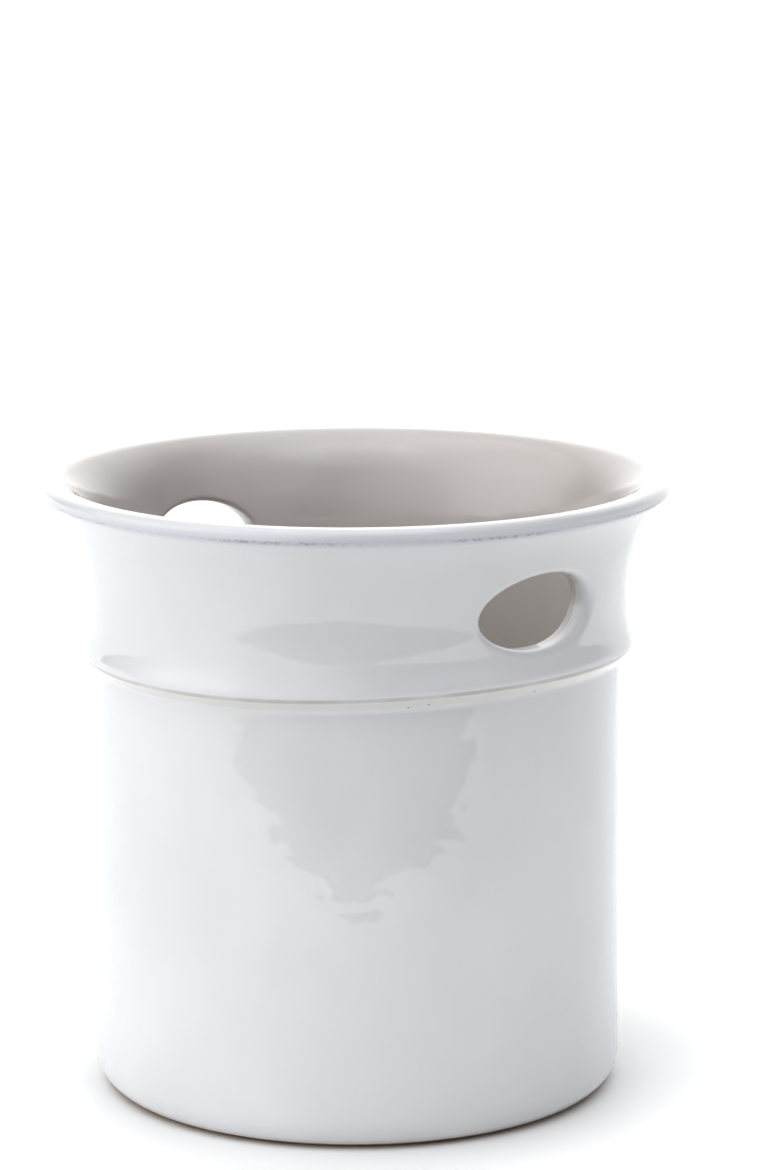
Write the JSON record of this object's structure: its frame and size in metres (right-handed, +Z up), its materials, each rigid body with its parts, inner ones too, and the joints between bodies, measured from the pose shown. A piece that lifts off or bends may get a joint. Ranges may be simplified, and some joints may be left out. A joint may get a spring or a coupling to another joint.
{
  "type": "utensil crock",
  "caption": "Open glazed stoneware crock with a flared lip, hand-holes through its waisted neck, a swollen band and a foot ring. It stands on a worktop and holds kitchen utensils upright.",
  "frame": {"origin": "centre of the foot ring, on the surface that the crock stands on", "axes": "+Z up the crock's axis, through its mouth. The hand-holes face +X and -X."},
  "size_m": [0.184, 0.184, 0.181],
  "materials": {
    "fired_clay": "bare fired stoneware, matt",
    "outer_glaze": "gloss white glaze",
    "liner_glaze": "gloss white glaze",
    "underside_glaze": "gloss white glaze, thin"
  },
  "bodies": {
    "root": {"stoneware_body": "fired_clay", "outer_glaze": "outer_glaze", "liner_glaze": "liner_glaze", "underside_glaze": "underside_glaze"}
  },
  "joints": []
}
